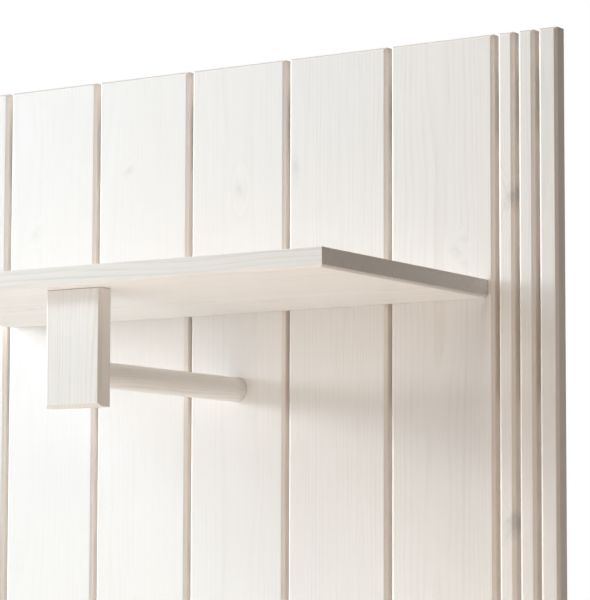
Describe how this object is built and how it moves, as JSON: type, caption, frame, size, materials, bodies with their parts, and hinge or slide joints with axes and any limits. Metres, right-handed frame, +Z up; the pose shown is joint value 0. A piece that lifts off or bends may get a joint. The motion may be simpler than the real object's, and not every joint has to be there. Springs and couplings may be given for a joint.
{
  "type": "wall hook rack",
  "caption": "Wall-mounted slatted hall panel with a deep hat shelf and a round coat-hanger rod that runs straight out of the panel to an upright end plate under the shelf.",
  "frame": {"origin": "on the wall plane and the rack's centre line, on the rear face of the middle batten, 275 mm below the panel's top edge", "axes": "+Z up, +Y into the wall, +X to the right for a viewer who faces the rack; the rack stands out of the wall towards -Y"},
  "size_m": [0.733, 0.3318, 1],
  "materials": {
    "glazed_pine": "satin white glaze, grain shows through",
    "beech": "raw",
    "zinc_steel": "zinc plated"
  },
  "bodies": {
    "root": {"board_screw_bottom_1": "zinc_steel", "board_screw_bottom_2": "zinc_steel", "board_screw_bottom_3": "zinc_steel", "board_screw_bottom_4": "zinc_steel", "board_screw_bottom_5": "zinc_steel", "board_screw_middle_1": "zinc_steel", "board_screw_middle_2": "zinc_steel", "board_screw_middle_3": "zinc_steel", "board_screw_middle_4": "zinc_steel", "board_screw_middle_5": "zinc_steel", "board_screw_top_1": "zinc_steel", "board_screw_top_2": "zinc_steel", "board_screw_top_3": "zinc_steel", "board_screw_top_4": "zinc_steel", "board_screw_top_5": "zinc_steel", "bottom_batten": "glazed_pine", "end_plate": "glazed_pine", "hanger_plate_left": "zinc_steel", "hanger_plate_right": "zinc_steel", "hanger_screw_left_lower": "zinc_steel", "hanger_screw_left_upper": "zinc_steel", "hanger_screw_right_lower": "zinc_steel", "hanger_screw_right_upper": "zinc_steel", "hanging_rod": "glazed_pine", "hat_shelf": "glazed_pine", "middle_batten": "glazed_pine", "plate_pin_left": "beech", "plate_pin_right": "beech", "rod_screw": "zinc_steel", "shelf_screw_1": "zinc_steel", "shelf_screw_2": "zinc_steel", "shelf_screw_3": "zinc_steel", "shelf_screw_4": "zinc_steel", "shelf_screw_5": "zinc_steel", "slat_left_inner": "glazed_pine", "slat_left_middle": "glazed_pine", "slat_left_outer": "glazed_pine", "slat_right_inner": "glazed_pine", "slat_right_middle": "glazed_pine", "slat_right_outer": "glazed_pine", "slat_screw_bottom_left_inner": "zinc_steel", "slat_screw_bottom_left_middle": "zinc_steel", "slat_screw_bottom_left_outer": "zinc_steel", "slat_screw_bottom_right_inner": "zinc_steel", "slat_screw_bottom_right_middle": "zinc_steel", "slat_screw_bottom_right_outer": "zinc_steel", "slat_screw_top_left_inner": "zinc_steel", "slat_screw_top_left_middle": "zinc_steel", "slat_screw_top_left_outer": "zinc_steel", "slat_screw_top_right_inner": "zinc_steel", "slat_screw_top_right_middle": "zinc_steel", "slat_screw_top_right_outer": "zinc_steel", "top_batten": "glazed_pine", "wide_board_1": "glazed_pine", "wide_board_2": "glazed_pine", "wide_board_3": "glazed_pine", "wide_board_4": "glazed_pine", "wide_board_5": "glazed_pine"}
  },
  "joints": []
}
